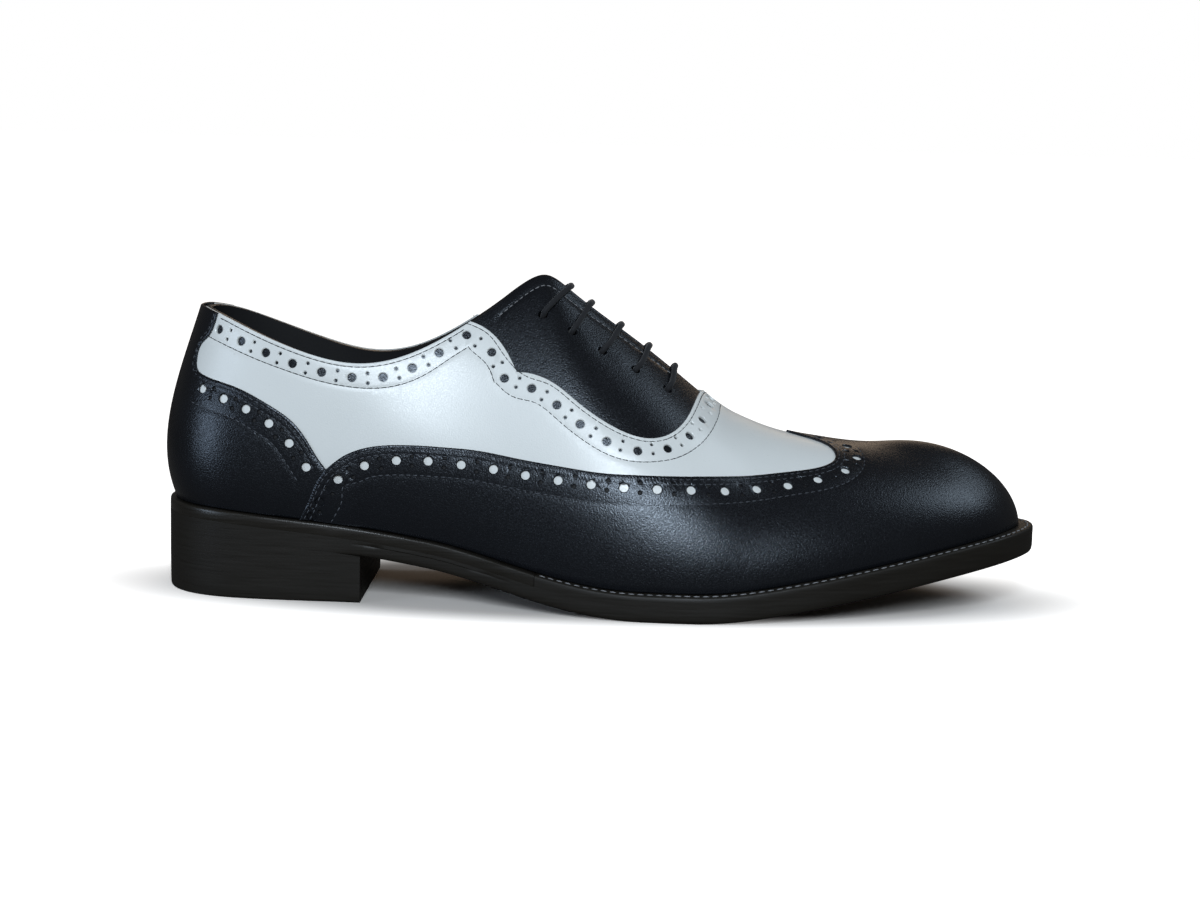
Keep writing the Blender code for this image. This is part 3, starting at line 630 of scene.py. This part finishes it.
def makeSoleMaterial(name, rough, specular):  # stacked leather: fine level lines in the blacking
    made, tree, shader = newMaterial(name, (0.02, 0.018, 0.016), 0.5, specular)
    coords = objectCoords(tree)
    flatter = shaderNode(tree, "ShaderNodeMapping", {"Vector": coords, "Scale": (60.0, 60.0, 1400.0)})
    lines = shaderNode(tree, "ShaderNodeTexNoise", {"Vector": flatter.outputs["Vector"], "Scale": 1.0,
                                                    "Detail": 4.0}).outputs["Fac"]
    fine = shaderNode(tree, "ShaderNodeTexNoise", {"Vector": coords, "Scale": 1800.0, "Detail": 2.0})
    color = blendColors(tree, lines, (0.009, 0.0076, 0.0058), (0.0175, 0.0148, 0.0115))
    tree.links.new(color, shader.inputs["Base Color"])
    tree.links.new(mapped(tree, lines, rough - 0.08, rough + 0.08), shader.inputs["Roughness"])
    height = shaderNode(tree, "ShaderNodeMix", {"Factor": 0.5, "A": lines, "B": fine.outputs["Fac"]})
    addBump(tree, shader, height.outputs["Result"], 0.5, 0.12 * mm)
    return made


def makeLaceMaterial():
    made, tree, shader = newMaterial("blackLace", (0.02, 0.02, 0.024), 0.75, 0.3, sheen=0.12)
    coords = objectCoords(tree)
    fuzz = shaderNode(tree, "ShaderNodeTexNoise", {"Vector": coords, "Scale": 2400.0, "Detail": 3.0})
    tree.links.new(blendColors(tree, fuzz.outputs["Fac"], (0.004, 0.004, 0.005), (0.020, 0.021, 0.025)),
                   shader.inputs["Base Color"])
    addBump(tree, shader, fuzz.outputs["Fac"], 0.6, 0.15 * mm)
    return made


# Pale in sight and white outside an oval round the shoe; dim in reflections, as if dark cards stood there.
def makeStageMaterial():
    made, tree, shader = newMaterial("paleFloor", (0.98, 0.91, 0.85), 0.7, 0.0)
    coords = objectCoords(tree)
    oval = shaderNode(tree, "ShaderNodeMapping", {"Vector": coords, "Location": (-0.042, 0.0, 0.0),
                                                  "Scale": (0.35, 1.0, 1.0)})
    far = shaderNode(tree, "ShaderNodeVectorMath", {0: oval.outputs["Vector"]}, operation="LENGTH")
    glow = shaderNode(tree, "ShaderNodeMapRange", {"Value": far.outputs["Value"], "From Min": 0.042,
                                                   "From Max": 0.075}, interpolation_type="SMOOTHSTEP")
    tree.links.new(glow.outputs["Result"], shader.inputs["Emission Strength"])
    shader.inputs["Emission Color"].default_value = (1.0, 1.0, 1.0, 1.0)
    dim = shaderNode(tree, "ShaderNodeBsdfDiffuse", {"Color": (0.17, 0.155, 0.14, 1.0)})
    chosen = forCamera(tree, shader.outputs[0], dim.outputs[0])
    tree.links.new(chosen, tree.nodes["Material Output"].inputs["Surface"])
    return made


looks["soleBlack"] = makeSoleMaterial("soleBlack", 0.5, 0.3)
looks["burnishedBlack"] = makeSoleMaterial("burnishedBlack", 0.32, 0.5)
looks["blackLace"] = makeLaceMaterial()
print("materials ready")

# Upper. Depths are in mm outside the lasted wall.
shell = {"grid": 2.4, "top": -1.3, "bottom": -3.3, "round": 0.7, "sunk": 0.2, "lining": 1, "eyelet": 3.0}
shellCorners = ((0, 0), (seamRight, 0), (seamRight, heightMm), (0, heightMm), (0, 0))
shellSides = [straightLine(start, end) for start, end in zip(shellCorners, shellCorners[1:])]
shellOutline = joinLines(*shellSides)[:-1]
eyeletSpots = flatOf([eyelet[:2] for eyelet in eyelets])
eyeletHoles = bothSidesOfHoles([(spot, shell["eyelet"] / 2) for spot in eyeletSpots])
lastPanel("facingsAndLining", shellOutline, shell, eyeletHoles, bothSides(seams["front"]),
          (looks["blackLeather"], looks["blackLining"]), ("upper",), backSeam=True)

quarters = {"grid": 1.8, "top": -0.25, "bottom": -1.25, "round": 0.35, "sunk": 0.15}
hiddenRear = flatOf(((1.25, 1.0), (1.1, 0.8), (1.2, 0.55), (2.4, 0.42), (4.1, 0.3), (5.6, 0.13)))
hiddenFront = flatOf(((5.6, 0.13), (8.0, 0.14), (11.0, 0.12), (14.0, 0.16), (16.5, 0.36), (18.2, 0.66),
                      (19.6, 0.84), (21.0, 0.9)))
whiteBottom = joinLines(smoothLine(hiddenRear), smoothLine(hiddenFront))
throat = (throatRow * stationMm, heightMm)
whiteOutline = joinLines(
    straightLine(hiddenRear[0], (collarFront, heightMm)), facingEdge,
    straightLine(throat, (seamRight - throat[0], heightMm)), mirrored(facingEdge)[::-1],
    straightLine((seamRight - collarFront, heightMm), (seamRight - hiddenRear[0][0], heightMm)),
    mirrored(whiteBottom), whiteBottom[::-1])[:-1]
whiteSeams = bothSides(seams["collar"]) + bothSides(seams["facing"]) + bothSides(seams["rim"])
lastPanel("whiteQuartersAndVamp", whiteOutline, quarters, punchedRow(rimHoles), whiteSeams,
          (looks["whiteLeather"],), ("quarters_and_vamp",))


wingEnd = {"front": 6.0, "run": 0.5, "rise": 0.85}  # stations, and mm


def wingRise(flat):  # the ends of the wings lie over the counter
    station = np.minimum(flat[:, 0], seamRight - flat[:, 0]) / stationMm
    t = np.clip((wingEnd["front"] - station) / wingEnd["run"], 0, 1)
    return wingEnd["rise"] * t * t * (3 - 2 * t)


def noRise(flat):
    return np.zeros(len(flat))


blackPanel = {"grid": 1.8, "top": 0.6, "bottom": -0.22, "round": 0.35, "sunk": 0.1}
wing = {**blackPanel, "raise": wingRise}
wingRow = punchedRow(wingHoles)
wingOutline = joinLines(wingEdge, straightLine(wingEdge[-1], mirrored(wingEdge[-1:])[0]),
                        mirrored(wingEdge)[::-1],
                        straightLine((seamRight - wingEdge[0, 0], 0), (wingEdge[0, 0], 0)))[:-1]
wingSeams = [line for name in ("wingEdge", "wingSecond", "wingLower") for line in bothSides(seams[name])]
lastPanel("wingCap", wingOutline, wing, wingRow, wingSeams,
          (looks["blackLeather"],), ("wing_cap",))


def mirroredAtBack(flat):
    return flat * (-1, 1)


counterFront = curveOf(((5.44, 0.334), (5.58, 0.22), (5.44, 0.1), (5.3, 0.0)))
counterSide = joinLines(counterEdge, counterFront)
counterOutline = joinLines(counterSide, straightLine(counterSide[-1], mirroredAtBack(counterSide[-1])),
                           mirroredAtBack(counterSide)[::-1],
                           straightLine(mirroredAtBack(counterSide[0]), counterSide[0]))[:-1]
counterRow = [(centre, radius) for centre, radius in punchedRow(counterHoles) if centre[0] < seamRight / 2]
counterRow += [(mirroredAtBack(centre), radius) for centre, radius in counterRow]
counterSeams = [line for name in ("counterEdge", "counterSecond", "counterLower")
                for line in (seams[name], mirroredAtBack(seams[name]))]
lastPanel("heelCounter", counterOutline, blackPanel, counterRow, counterSeams,
          (looks["blackLeather"],), ("counter",))


pinFloor = {"lift": 0.2, "wide": 1.25, "thick": 0.16, "sides": 10}  # wide is in radii of its hole


def pinholeFloors(name, holes, raised):  # the small punches don't reach the white leather
    bm = bmesh.new()
    for centre, radius in holes:
        if radius < punches["large"] / 2:
            depth = blackPanel["bottom"] + pinFloor["lift"] + raised(centre[None])
            middle = leather(centre[None], depth)[0]
            outward = Vector(leather(centre[None], depth + 0.3)[0] - middle)
            where = Matrix.Translation(toFrame(middle)) @ outward.to_track_quat("Z", "Y").to_matrix().to_4x4()
            across = radius * pinFloor["wide"] * mm
            bmesh.ops.create_cone(bm, cap_ends=True, segments=pinFloor["sides"], radius1=across,
                                  radius2=across, depth=pinFloor["thick"] * mm, matrix=where)
    finishPiece(name, bm, (looks["blackLining"],), ())


pinholeFloors("wingPinholeFloors", wingRow, wingRise)
pinholeFloors("counterPinholeFloors", counterRow, noRise)
print("upper ready")


def mappedGrid(across, up, place):  # a grid whose places run 0 to 1 both ways, moved to where place says
    bm = bmesh.new()
    bmesh.ops.create_grid(bm, x_segments=across, y_segments=up, size=1)
    spots = np.array([v.co[:2] for v in bm.verts]) / 2 + 0.5
    for vert, point in zip(bm.verts, toFrame(place(spots[:, 0], spots[:, 1]))):
        vert.co = point
    return bm


def closeUp(bm, caps=True):
    bmesh.ops.remove_doubles(bm, verts=bm.verts[:], dist=weld)
    bmesh.ops.dissolve_degenerate(bm, edges=bm.edges[:], dist=weld / 4)
    if caps:
        bmesh.ops.holes_fill(bm, edges=[e for e in bm.edges if e.is_boundary])
    bmesh.ops.recalc_face_normals(bm, faces=bm.faces[:])
    return bm


# Thread, sunk into the leather by the last value. Where the length passes the pitch, the stitches join.
whiteRows = {"length": 3.1, "pitch": 2.4, "width": 0.42, "height": 0.44, "sunk": 0.16}
blackRows = {"length": 1.9, "pitch": 2.4, "width": 0.42, "height": 0.42, "sunk": 0.14}


def sewRows(name, lines, top, raised, look, size, place=leather):
    bm = bmesh.new()
    for line in lines:
        spots, ways = spaced(line, size["pitch"])
        depths = top - size["sunk"] + raised(spots)
        middles = place(spots, depths)
        along = unit(place(spots + ways * 0.5, depths) - place(spots - ways * 0.5, depths))
        outward = unit(place(spots, depths + 0.3) - place(spots, depths - 0.3))
        for middle, x, z in zip(middles, along, outward):
            axes = (x * size["length"] / 2, np.cross(z, x) * size["width"] / 2, z * size["height"] / 2)
            turn = Matrix(axes).transposed()
            where = Matrix.Translation(toFrame(middle)) @ (turn * mm).to_4x4()
            bmesh.ops.create_icosphere(bm, subdivisions=1, radius=1.0, matrix=where)
    finishPiece(name, bm, (look,), (), crease=80)


sewRows("threadOnWhite", whiteSeams, quarters["top"], noRise, looks["blackThread"],
        whiteRows)
# The wing's and counter's thread is black; its grey colour is a painted highlight for its glints.
sewRows("threadOnWing", wingSeams, wing["top"], wingRise, looks["blackThreadPaintedGlint"], blackRows)
sewRows("threadOnCounter", counterSeams, blackPanel["top"], noRise, looks["blackThreadPaintedGlint"],
        blackRows)
sewRows("threadOnFacings", bothSides(seams["front"]), shell["top"], noRise, looks["greyThread"],
        blackRows)
print("stitching ready")


# Sole, heel and welt.
def soleSection(station, share, inset, height):  # from the sole's middle line (share 0) to its edge (share 1)
    station = np.asarray(station, float)
    edge = solePoint(station, inset, height)
    other = solePoint(ring - station, inset, height)
    middle = (edge + other) / 2
    point = middle + (edge - middle) * np.asarray(share, float)[..., None]
    point[..., 2] = soleUnder(point[..., 0]) + height
    return point


def profileAt(profile, v):  # the profile's columns at 0 to 1 along it, corner by corner
    profile = np.array(profile, float)
    at = v * (len(profile) - 1)
    return [np.interp(at, np.arange(len(profile)), column) for column in profile.T]


def stationAt(x):  # the station where the sole's edge has this x
    return float(np.interp(x, sole["x"], np.arange(toe + 1.0)))


# Each corner of a section: share of the way to the edge, inset from the edge and height.
soleShape = {
    "outsole": ((0, 0, 0), (0.5, 0.6, 0), (0.85, 0.6, 0), (1, 1.5, 0), (1, 0.9, 0.1), (1, 0.45, 0.35),
                (1, 0.15, 0.9), (1, 0.0, 1.8), (1, -0.05, 3.2), (1, -0.04, 3.95), (1, -0.04, 4.1),
                (1, -0.04, 4.25), (1, 0.0, 5.4), (0.9, 0.6, 5.4), (0.5, 0.6, 5.4), (0, 0, 5.4)),
    "insole": ((0, 7.6, 5.5), (1, 7.6, 5.5), (1, 7.6, 11.2), (1, 7.9, 11.7), (1, 8.6, 12.0), (0.5, 8.6, 12.0),
               (0, 8.6, 12.0)),
    "stations": 210, "waistFrontX": 122.0, "waistFades": (0.3, 0.8),  # over so many stations, rear and front
    "jointHeight": 4.1, "jointDepth": 0.4, "undercut": 0.12,
}
heel = {"breastX": 71.5, "top": -0.02, "hollow": 1.6,
        "shares": (0, 0.45, 0.85, 1, 1, 1, 1, 1, 1, 1, 0.85, 0.45, 0),
        "insets": (0.9, 0.9, 0.9, 0.9, 0.5, 0.3, 0.2, 0.1, 0.02, 0.0, 0.05, 0.05, 0.05),
        "heights": (0, 0, 0, 0, 0.12, 0.4, 0.9, 4.0, 12.0, 99, 99, 99, 99)}  # 99 stands for the heel's top
breast = stationAt(heel["breastX"])
waistFront = stationAt(soleShape["waistFrontX"])


def soleLayer(name, profile, look, replaced):  # flush with the heel, a joint line at the waist
    def place(u, v):
        share, inset, height = profileAt(profile, v)
        station = np.minimum(u, 1 - u) * ring
        rear, front = soleShape["waistFades"]
        inset = inset * (1 - np.clip((breast - station) / rear, 0, 1) * (height < 5.0))
        waist = np.clip((station - breast) / rear, 0, 1) * np.clip((waistFront - station) / front, 0, 1)
        inset += soleShape["jointDepth"] * waist * (np.abs(height - soleShape["jointHeight"]) < 0.01)
        inset += soleShape["undercut"] * waist * (height < 4.0)
        return soleSection(u * ring, share, inset, height)

    bm = closeUp(mappedGrid(soleShape["stations"], len(profile) - 1, place), caps=False)
    finishPiece(name, bm, (look,), replaced, crease=50)


soleLayer("outsoleLayer", soleShape["outsole"], looks["soleBlack"], ("outsole",))
soleLayer("insoleSock", soleShape["insole"], looks["blackLining"], ("insole",))

# Corners of the strips' sections: inset and height.
welt = {
    "startX": 132.0,
    "forepart": ((8.5, 5.4), (0.0, 5.4), (0.0, 5.9), (-0.05, 7.4), (0.0, 8.5), (0.2, 9.0), (0.6, 9.3),
                 (1.1, 9.4), (1.5, 9.25), (1.9, 9.2), (2.3, 9.25), (2.7, 9.4), (4.0, 9.45), (8.5, 9.45),
                 (8.5, 5.4)),
    "rand": ((8.5, 5.4), (0.06, 5.4), (0.0, 5.6), (0.0, 7.4), (0.05, 8.6), (0.2, 9.1), (0.5, 9.34),
             (0.9, 9.4), (3.0, 9.4), (8.5, 9.4), (8.5, 5.4)),
}
weltStart = stationAt(welt["startX"])


def soleStrip(name, profile, first, last, look, replaced):
    count = int((last - first) * 6)

    def place(u, v):
        inset, height = profileAt(profile, v)
        return solePoint(first + (last - first) * u, inset, height)

    bm = closeUp(mappedGrid(count, len(profile) - 1, place))
    finishPiece(name, bm, (look,), replaced, crease=50)


randStart = weltStart - 0.01
soleStrip("stitchedWelt", welt["forepart"], weltStart, ring - weltStart, looks["soleBlack"], ("welt",))
soleStrip("heelRand", welt["rand"], -randStart, randStart, looks["burnishedBlack"], ("heel_rand",))


def placeHeel(u, v):  # u runs round the heel from breast to breast, v up its section
    station = -breast + 2 * breast * u
    share, inset, height = profileAt(list(zip(heel["shares"], heel["insets"], heel["heights"])), v)
    edge = solePoint(station, inset, 0.0)
    other = solePoint(-station, inset, 0.0)
    middle = (edge + other) / 2
    point = middle + (edge - middle) * share[:, None]
    seat = soleUnder(point[:, 0]) + heel["top"]
    point[:, 2] = np.minimum(height, seat)
    forward = np.clip((np.abs(station) - breast + 0.35) / 0.35, 0, 1)
    point[:, 0] -= heel["hollow"] * forward * (1 - share**2)
    return point


heelGrid = mappedGrid(96, len(heel["shares"]) - 1, placeHeel)
finishPiece("heelBlock", closeUp(heelGrid), (looks["soleBlack"],), ("heel",), crease=50)

weltRow = {"length": 2.5, "pitch": 3.1, "width": 0.75, "height": 0.5, "sunk": 0.04, "inset": 1.9}


def onWelt(spots, height):  # the flat pattern's u runs round the welt; v is not used
    return solePoint(spots[:, 0] / stationMm, weltRow["inset"], height)


weltEnd = (weltStart + 0.1) * stationMm
weltLine = np.linspace((weltEnd, 0), (seamRight - weltEnd, 0), 400)
sewRows("threadOnWelt", [weltLine], soleEdge, noRise, looks["greyThread"], weltRow, onWelt)
print("sole ready")

# Tongue and lace.
tongue = {"first": 10.05, "last": 14.4, "reach": 0.30, "top": -6.3, "thick": 1.6, "taper": 0.35,
          "taperEnd": 0.12, "middle": 0.22}


def placeTongue(u, v):
    station = tongue["first"] + (tongue["last"] - tongue["first"]) * u
    around = v * 2  # 0 to 1 over the outside, 1 to 2 back under the inside
    outside = around <= 1
    share = np.where(outside, 2 * around - 1, 3 - 2 * around)
    rounded = 1 - tongue["taper"] * np.clip(1 - u / tongue["taperEnd"], 0, 1) ** 2
    height = (1 - tongue["reach"] * np.abs(share) * rounded) * heightMm
    side = np.where(share <= 0, station, ring - station) * stationMm
    depth = np.where(outside, tongue["top"], tongue["top"] - tongue["thick"])
    point = leather(np.stack([side, height], -1), depth)
    blend = np.exp(-((share / tongue["middle"]) ** 2))[:, None]
    mate = leather(np.stack([seamRight - side, height], -1), depth)
    return point + (mate - point) * 0.5 * blend


tongueGrid = mappedGrid(60, 48, placeTongue)
finishPiece("tongueStrip", closeUp(tongueGrid), (looks["blackLeather"],), ("tongue",),
            crease=60)

lace = {"radius": 1.12, "inside": -4.9, "sides": 20, "step": 0.4, "strands": 4, "twist": 3.2, "relief": 0.24}
# A bar's way from the eyelet to the ridge: depth of its middle, and how far it is along and up.
barSteps = ((-4.7, 0.0, 0.0), (-3.0, 0.0, 0.0), (-1.2, 0.03, 0.01), (-0.4, 0.12, 0.06), (-0.15, 0.27, 0.14),
            (-0.15, 0.54, 0.34), (-0.1, 0.80, 0.62), (0.0, 0.94, 0.87), (0.2, 1.0, 1.0))


def eyeletPoint(number, medial, depth, towards=0.0, height=0.0):
    station, up, crest = eyelets[number]
    station += (crest - station) * towards
    up += (1 - up) * height
    x = ring - station if medial else station
    return leather(np.array([[x * stationMm, up * heightMm]]), depth)[0]


def overBar(number, startMedial):  # one bar of lace from eyelet to eyelet, over the facings
    rising = [eyeletPoint(number, startMedial, *step) for step in barSteps]
    falling = [eyeletPoint(number, not startMedial, *step) for step in barSteps]
    crest = (rising.pop() + falling.pop()) / 2
    return rising + [crest] + falling[::-1]


def underRun(first, second, medial):  # along the inside of one facing, between two eyelets
    start = eyeletPoint(first, medial, lace["inside"])
    end = eyeletPoint(second, medial, lace["inside"])
    return [start + (end - start) * share for share in (0.25, 0.5, 0.75)]


laceRoute = (underRun(0, 1, False)[1:] + overBar(1, False) + underRun(1, 3, True) + overBar(3, True)
             + underRun(3, 4, False) + overBar(4, False) + underRun(4, 2, True) + overBar(2, True)
             + underRun(2, 0, False) + overBar(0, False) + underRun(0, 1, True)[:2])


def evenPath(points, step):  # a smooth line through the points in even steps, and its length
    points = np.array(points)
    run = np.concatenate([[0], np.cumsum(np.linalg.norm(np.diff(points, axis=0), axis=1))])
    fine = np.linspace(0, run[-1], int(run[-1] / 0.1))
    path = np.stack([naturalSpline(run, points[:, k])(fine) for k in range(3)], -1)
    length = np.concatenate([[0], np.cumsum(np.linalg.norm(np.diff(path, axis=0), axis=1))])
    at = np.linspace(0, length[-1], int(length[-1] / step) + 1)
    return np.stack([np.interp(at, length, path[:, k]) for k in range(3)], -1), length[-1]


lacePath, laceLength = evenPath(laceRoute, lace["step"])
print("lace length", round(laceLength), "mm")


def sweepCord(path, cord):
    tangent = unit(np.gradient(path, axis=0))
    side = np.zeros_like(path)
    previous = unit(np.cross(tangent[0], (0, 0, 1.0)))
    for i, way in enumerate(tangent):
        previous = unit(previous - way * np.dot(previous, way))
        side[i] = previous
    other = np.cross(tangent, side)

    def place(u, v):
        i = np.round(u * (len(path) - 1)).astype(int)
        angle = v * 2 * math.pi
        along = i * cord["step"] * 2 * math.pi / cord["twist"]
        braid = np.cos(cord["strands"] * angle + along) * np.cos(cord["strands"] * angle - along)
        radius = cord["radius"] * (1 - cord["relief"] + cord["relief"] * np.abs(braid))
        offset = side[i] * np.cos(angle)[:, None] + other[i] * np.sin(angle)[:, None]
        return path[i] + offset * radius[:, None]

    return closeUp(mappedGrid(len(path) - 1, cord["sides"], place))


finishPiece("laceThroughEyelets", sweepCord(lacePath, lace), (looks["blackLace"],),
            tuple(f"lace_bar_{n}" for n in range(1, 6)), crease=80)
print("laces and tongue ready")

# Floor, light and camera.
camera = {"target": (0.11857, 0.0, 0.05063), "distance": 0.8, "azimuth": 0.67, "elevation": 8.02,
          "roll": 1.41, "lens": 67.43}
az, el, roll = (math.radians(camera[k]) for k in ("azimuth", "elevation", "roll"))
back = Vector((math.sin(az) * math.cos(el), -math.cos(az) * math.cos(el), math.sin(el)))
level = Vector((math.cos(az), math.sin(az), 0.0))
above = back.cross(level)
right = level * math.cos(roll) + above * math.sin(roll)
over = above * math.cos(roll) - level * math.sin(roll)
cameraData = bpy.data.cameras.new("photoCamera")
cameraData.lens = camera["lens"]
cameraData.sensor_width = 36.0
cameraObject = addObject("photoCamera", cameraData)
cameraPlace = Vector(camera["target"]) + back * camera["distance"]
cameraTurn = Matrix((right, over, back)).transposed().to_4x4()
cameraObject.matrix_world = Matrix.Translation(cameraPlace) @ cameraTurn
bpy.context.scene.camera = cameraObject

floorMesh = bpy.data.meshes.new("floor")
bm = bmesh.new()
bmesh.ops.create_grid(bm, x_segments=1, y_segments=1, size=30.0)
bm.to_mesh(floorMesh)
bm.free()
floorMesh.materials.append(makeStageMaterial())
floor = addObject("floor", floorMesh)

lamps = {
    "key": {"at": (0.12, -1.15, 0.66), "aim": (0.12, 0.0, 0.05), "size": (0.30, 0.52), "power": 11.5,
            "color": (0.80, 0.90, 1.0)},
    "side": {"at": (-0.9, -0.65, 0.25), "aim": (0.0, 0.0, 0.05), "size": (0.4, 0.3), "power": 2.4,
             "color": (0.68, 0.82, 1.0)},
    "above": {"at": (0.98, 0.12, 0.88), "aim": (0.14, 0.0, 0.05), "size": (0.45, 0.4), "power": 2.1,
              "color": (0.75, 0.88, 1.0)},
    "warmBack": {"at": (0.25, 1.15, 0.62), "aim": (0.18, 0.0, 0.05), "size": (0.8, 0.4), "power": 1.1,
                 "color": (1.0, 0.76, 0.55)},
}
for name, lamp in lamps.items():
    light = bpy.data.lights.new(name, "AREA")
    light.shape = "RECTANGLE"
    light.size, light.size_y = lamp["size"]
    light.energy = lamp["power"]
    light.color = lamp["color"]
    turn = (Vector(lamp["at"]) - Vector(lamp["aim"])).to_track_quat("Z", "Y").to_matrix().to_4x4()
    addObject(name, light).matrix_world = Matrix.Translation(lamp["at"]) @ turn
world = bpy.data.worlds.new("studio")
world.use_nodes = True
sky = world.node_tree
ambient = sky.nodes["Background"]
ambient.inputs["Color"].default_value = (1.0, 0.97, 0.93, 1.0)
ambient.inputs["Strength"].default_value = 0.07
backdrop = shaderNode(sky, "ShaderNodeBackground", {"Color": (1.0, 1.0, 1.0, 1.0), "Strength": 1.0})
chosen = forCamera(sky, backdrop.outputs[0], ambient.outputs[0])
sky.links.new(chosen, sky.nodes["World Output"].inputs["Surface"])
bpy.context.scene.world = world
bpy.context.scene.view_settings.view_transform = "Standard"
print("stage ready")
